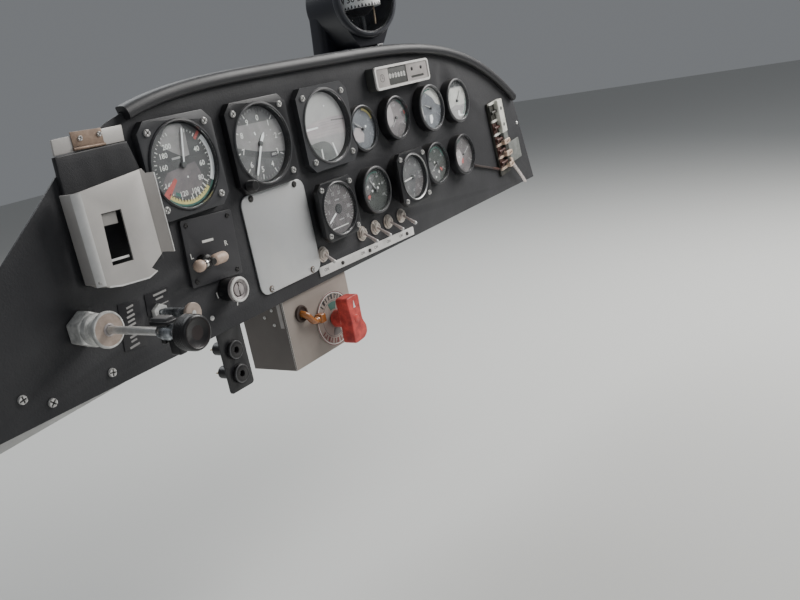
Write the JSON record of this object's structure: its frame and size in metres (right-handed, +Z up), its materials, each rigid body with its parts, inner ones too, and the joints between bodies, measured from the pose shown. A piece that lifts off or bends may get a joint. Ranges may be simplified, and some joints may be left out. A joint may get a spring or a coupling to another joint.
{
  "type": "light aircraft instrument panel",
  "caption": "Arched instrument panel of a light aircraft with its instruments, compass, device holder, switches, push-pull controls and fuel selector box.",
  "frame": {"origin": "on the centre mounting pad of the panel sheet's rear face, on its centre line, 10 mm above its bottom edge", "axes": "+Z up along the sheet, +Y forward through the sheet away from the pilot, +X to the pilot's right"},
  "size_m": [0.896, 0.234, 0.3865],
  "materials": {
    "panel_paint": "matt charcoal paint with a fine texture, worn at the holes and edges",
    "black_rubber": "black rubber moulding",
    "black_case": "semi-matt black instrument case",
    "compass_black": "smooth semi-gloss black case",
    "dial_face": "dark dial with plain white marks and numbers",
    "pale_dial": "pale dial behind glass",
    "bare_aluminium": "satin sheet aluminium, scuffed",
    "chromed_metal": "worn chromium plate",
    "zinc_plate": "dull zinc plate",
    "blush_plastic": "aged pink-beige plastic",
    "ivory_plastic": "off-white plastic",
    "box_paint": "beige-grey paint",
    "red_plastic": "worn red plastic",
    "amber_hose": "amber translucent hose",
    "brown_wire": "brown insulated wire",
    "maroon_plastic": "maroon-black plastic knob",
    "black_vinyl": "black grained vinyl pad",
    "clear_glass": "clear flat instrument glass with a thin film of dust",
    "dial_marking": "white, yellow, green and red dial print",
    "steel_screw": "bright steel screw and rivet heads",
    "rusty_steel": "brown rusted steel",
    "brass_fitting": "dull brass pipe stubs and contacts"
  },
  "bodies": {
    "root": {"airspeed_case": "black_case", "airspeed_dial": "dial_face", "altimeter_case": "black_case", "altimeter_dial": "dial_face", "blank_plate": "bare_aluminium", "climb_gauge_case": "black_case", "climb_gauge_dial": "dial_face", "compass_bracket": "bare_aluminium", "compass_card": "black_case", "compass_case": "compass_black", "edge_trim": "black_rubber", "engine_gauge_case": "black_case", "engine_gauge_dial": "dial_face", "fuel_box": "box_paint", "fuel_hose": "amber_hose", "fuel_valve": "zinc_plate", "fuse_block": "ivory_plastic", "fuse_wire": "brown_wire", "gauge_1_case": "black_case", "gauge_1_dial": "dial_face", "gauge_2_case": "black_case", "gauge_2_dial": "dial_face", "gauge_3_case": "black_case", "gauge_3_dial": "dial_face", "gauge_4_case": "black_case", "gauge_4_dial": "dial_face", "gauge_5_case": "black_case", "gauge_5_dial": "dial_face", "gauge_6_case": "black_case", "gauge_6_dial": "dial_face", "gauge_7_case": "black_case", "gauge_7_dial": "dial_face", "holder_pad": "black_vinyl", "holder_pocket": "bare_aluminium", "holder_tab": "bare_aluminium", "hose_grommet": "black_rubber", "hour_meter": "ivory_plastic", "ignition_lock": "chromed_metal", "jack_bracket": "zinc_plate", "label_strip": "ivory_plastic", "lower_left_strip": "bare_aluminium", "magneto_body": "black_case", "magneto_plate": "black_case", "master_toggle": "chromed_metal", "panel_sheet": "panel_paint", "pull_mount": "zinc_plate", "selector_ring": "bare_aluminium", "throttle_mount": "zinc_plate", "toggle_row": "chromed_metal", "turn_indicator_case": "black_case", "turn_indicator_dial": "pale_dial"},
    "throttle_lever": {"throttle_rod": "zinc_plate", "throttle_knob": "maroon_plastic"},
    "pull_lever": {"pull_knob": "blush_plastic"},
    "magneto_lever": {"magneto_handle": "blush_plastic"},
    "lock_cylinder": {"lock_core": "chromed_metal"},
    "fuel_lever": {"fuel_handle": "red_plastic"}
  },
  "joints": [
    {"name": "throttle_slide", "type": "slide", "parent": "root", "child": "throttle_lever", "axis": [0, 1, 0], "range_m": [0, 0.04]},
    {"name": "pull_slide", "type": "slide", "parent": "root", "child": "pull_lever", "axis": [0, -1, 0], "range_m": [0, 0.04]},
    {"name": "magneto_turn", "type": "hinge", "parent": "root", "child": "magneto_lever", "pos_m": [-0.2134, -0.017, 0.0572], "axis": [0, -1, 0], "range_deg": [0, 135]},
    {"name": "lock_turn", "type": "hinge", "parent": "root", "child": "lock_cylinder", "pos_m": [-0.1915, -0.018, 0.025], "axis": [0, 1, 0], "range_deg": [0, 120]},
    {"name": "fuel_turn", "type": "hinge", "parent": "root", "child": "fuel_lever", "pos_m": [-0.055, -0.022, -0.0515], "axis": [0, 1, 0], "range_deg": [0, 90]}
  ]
}
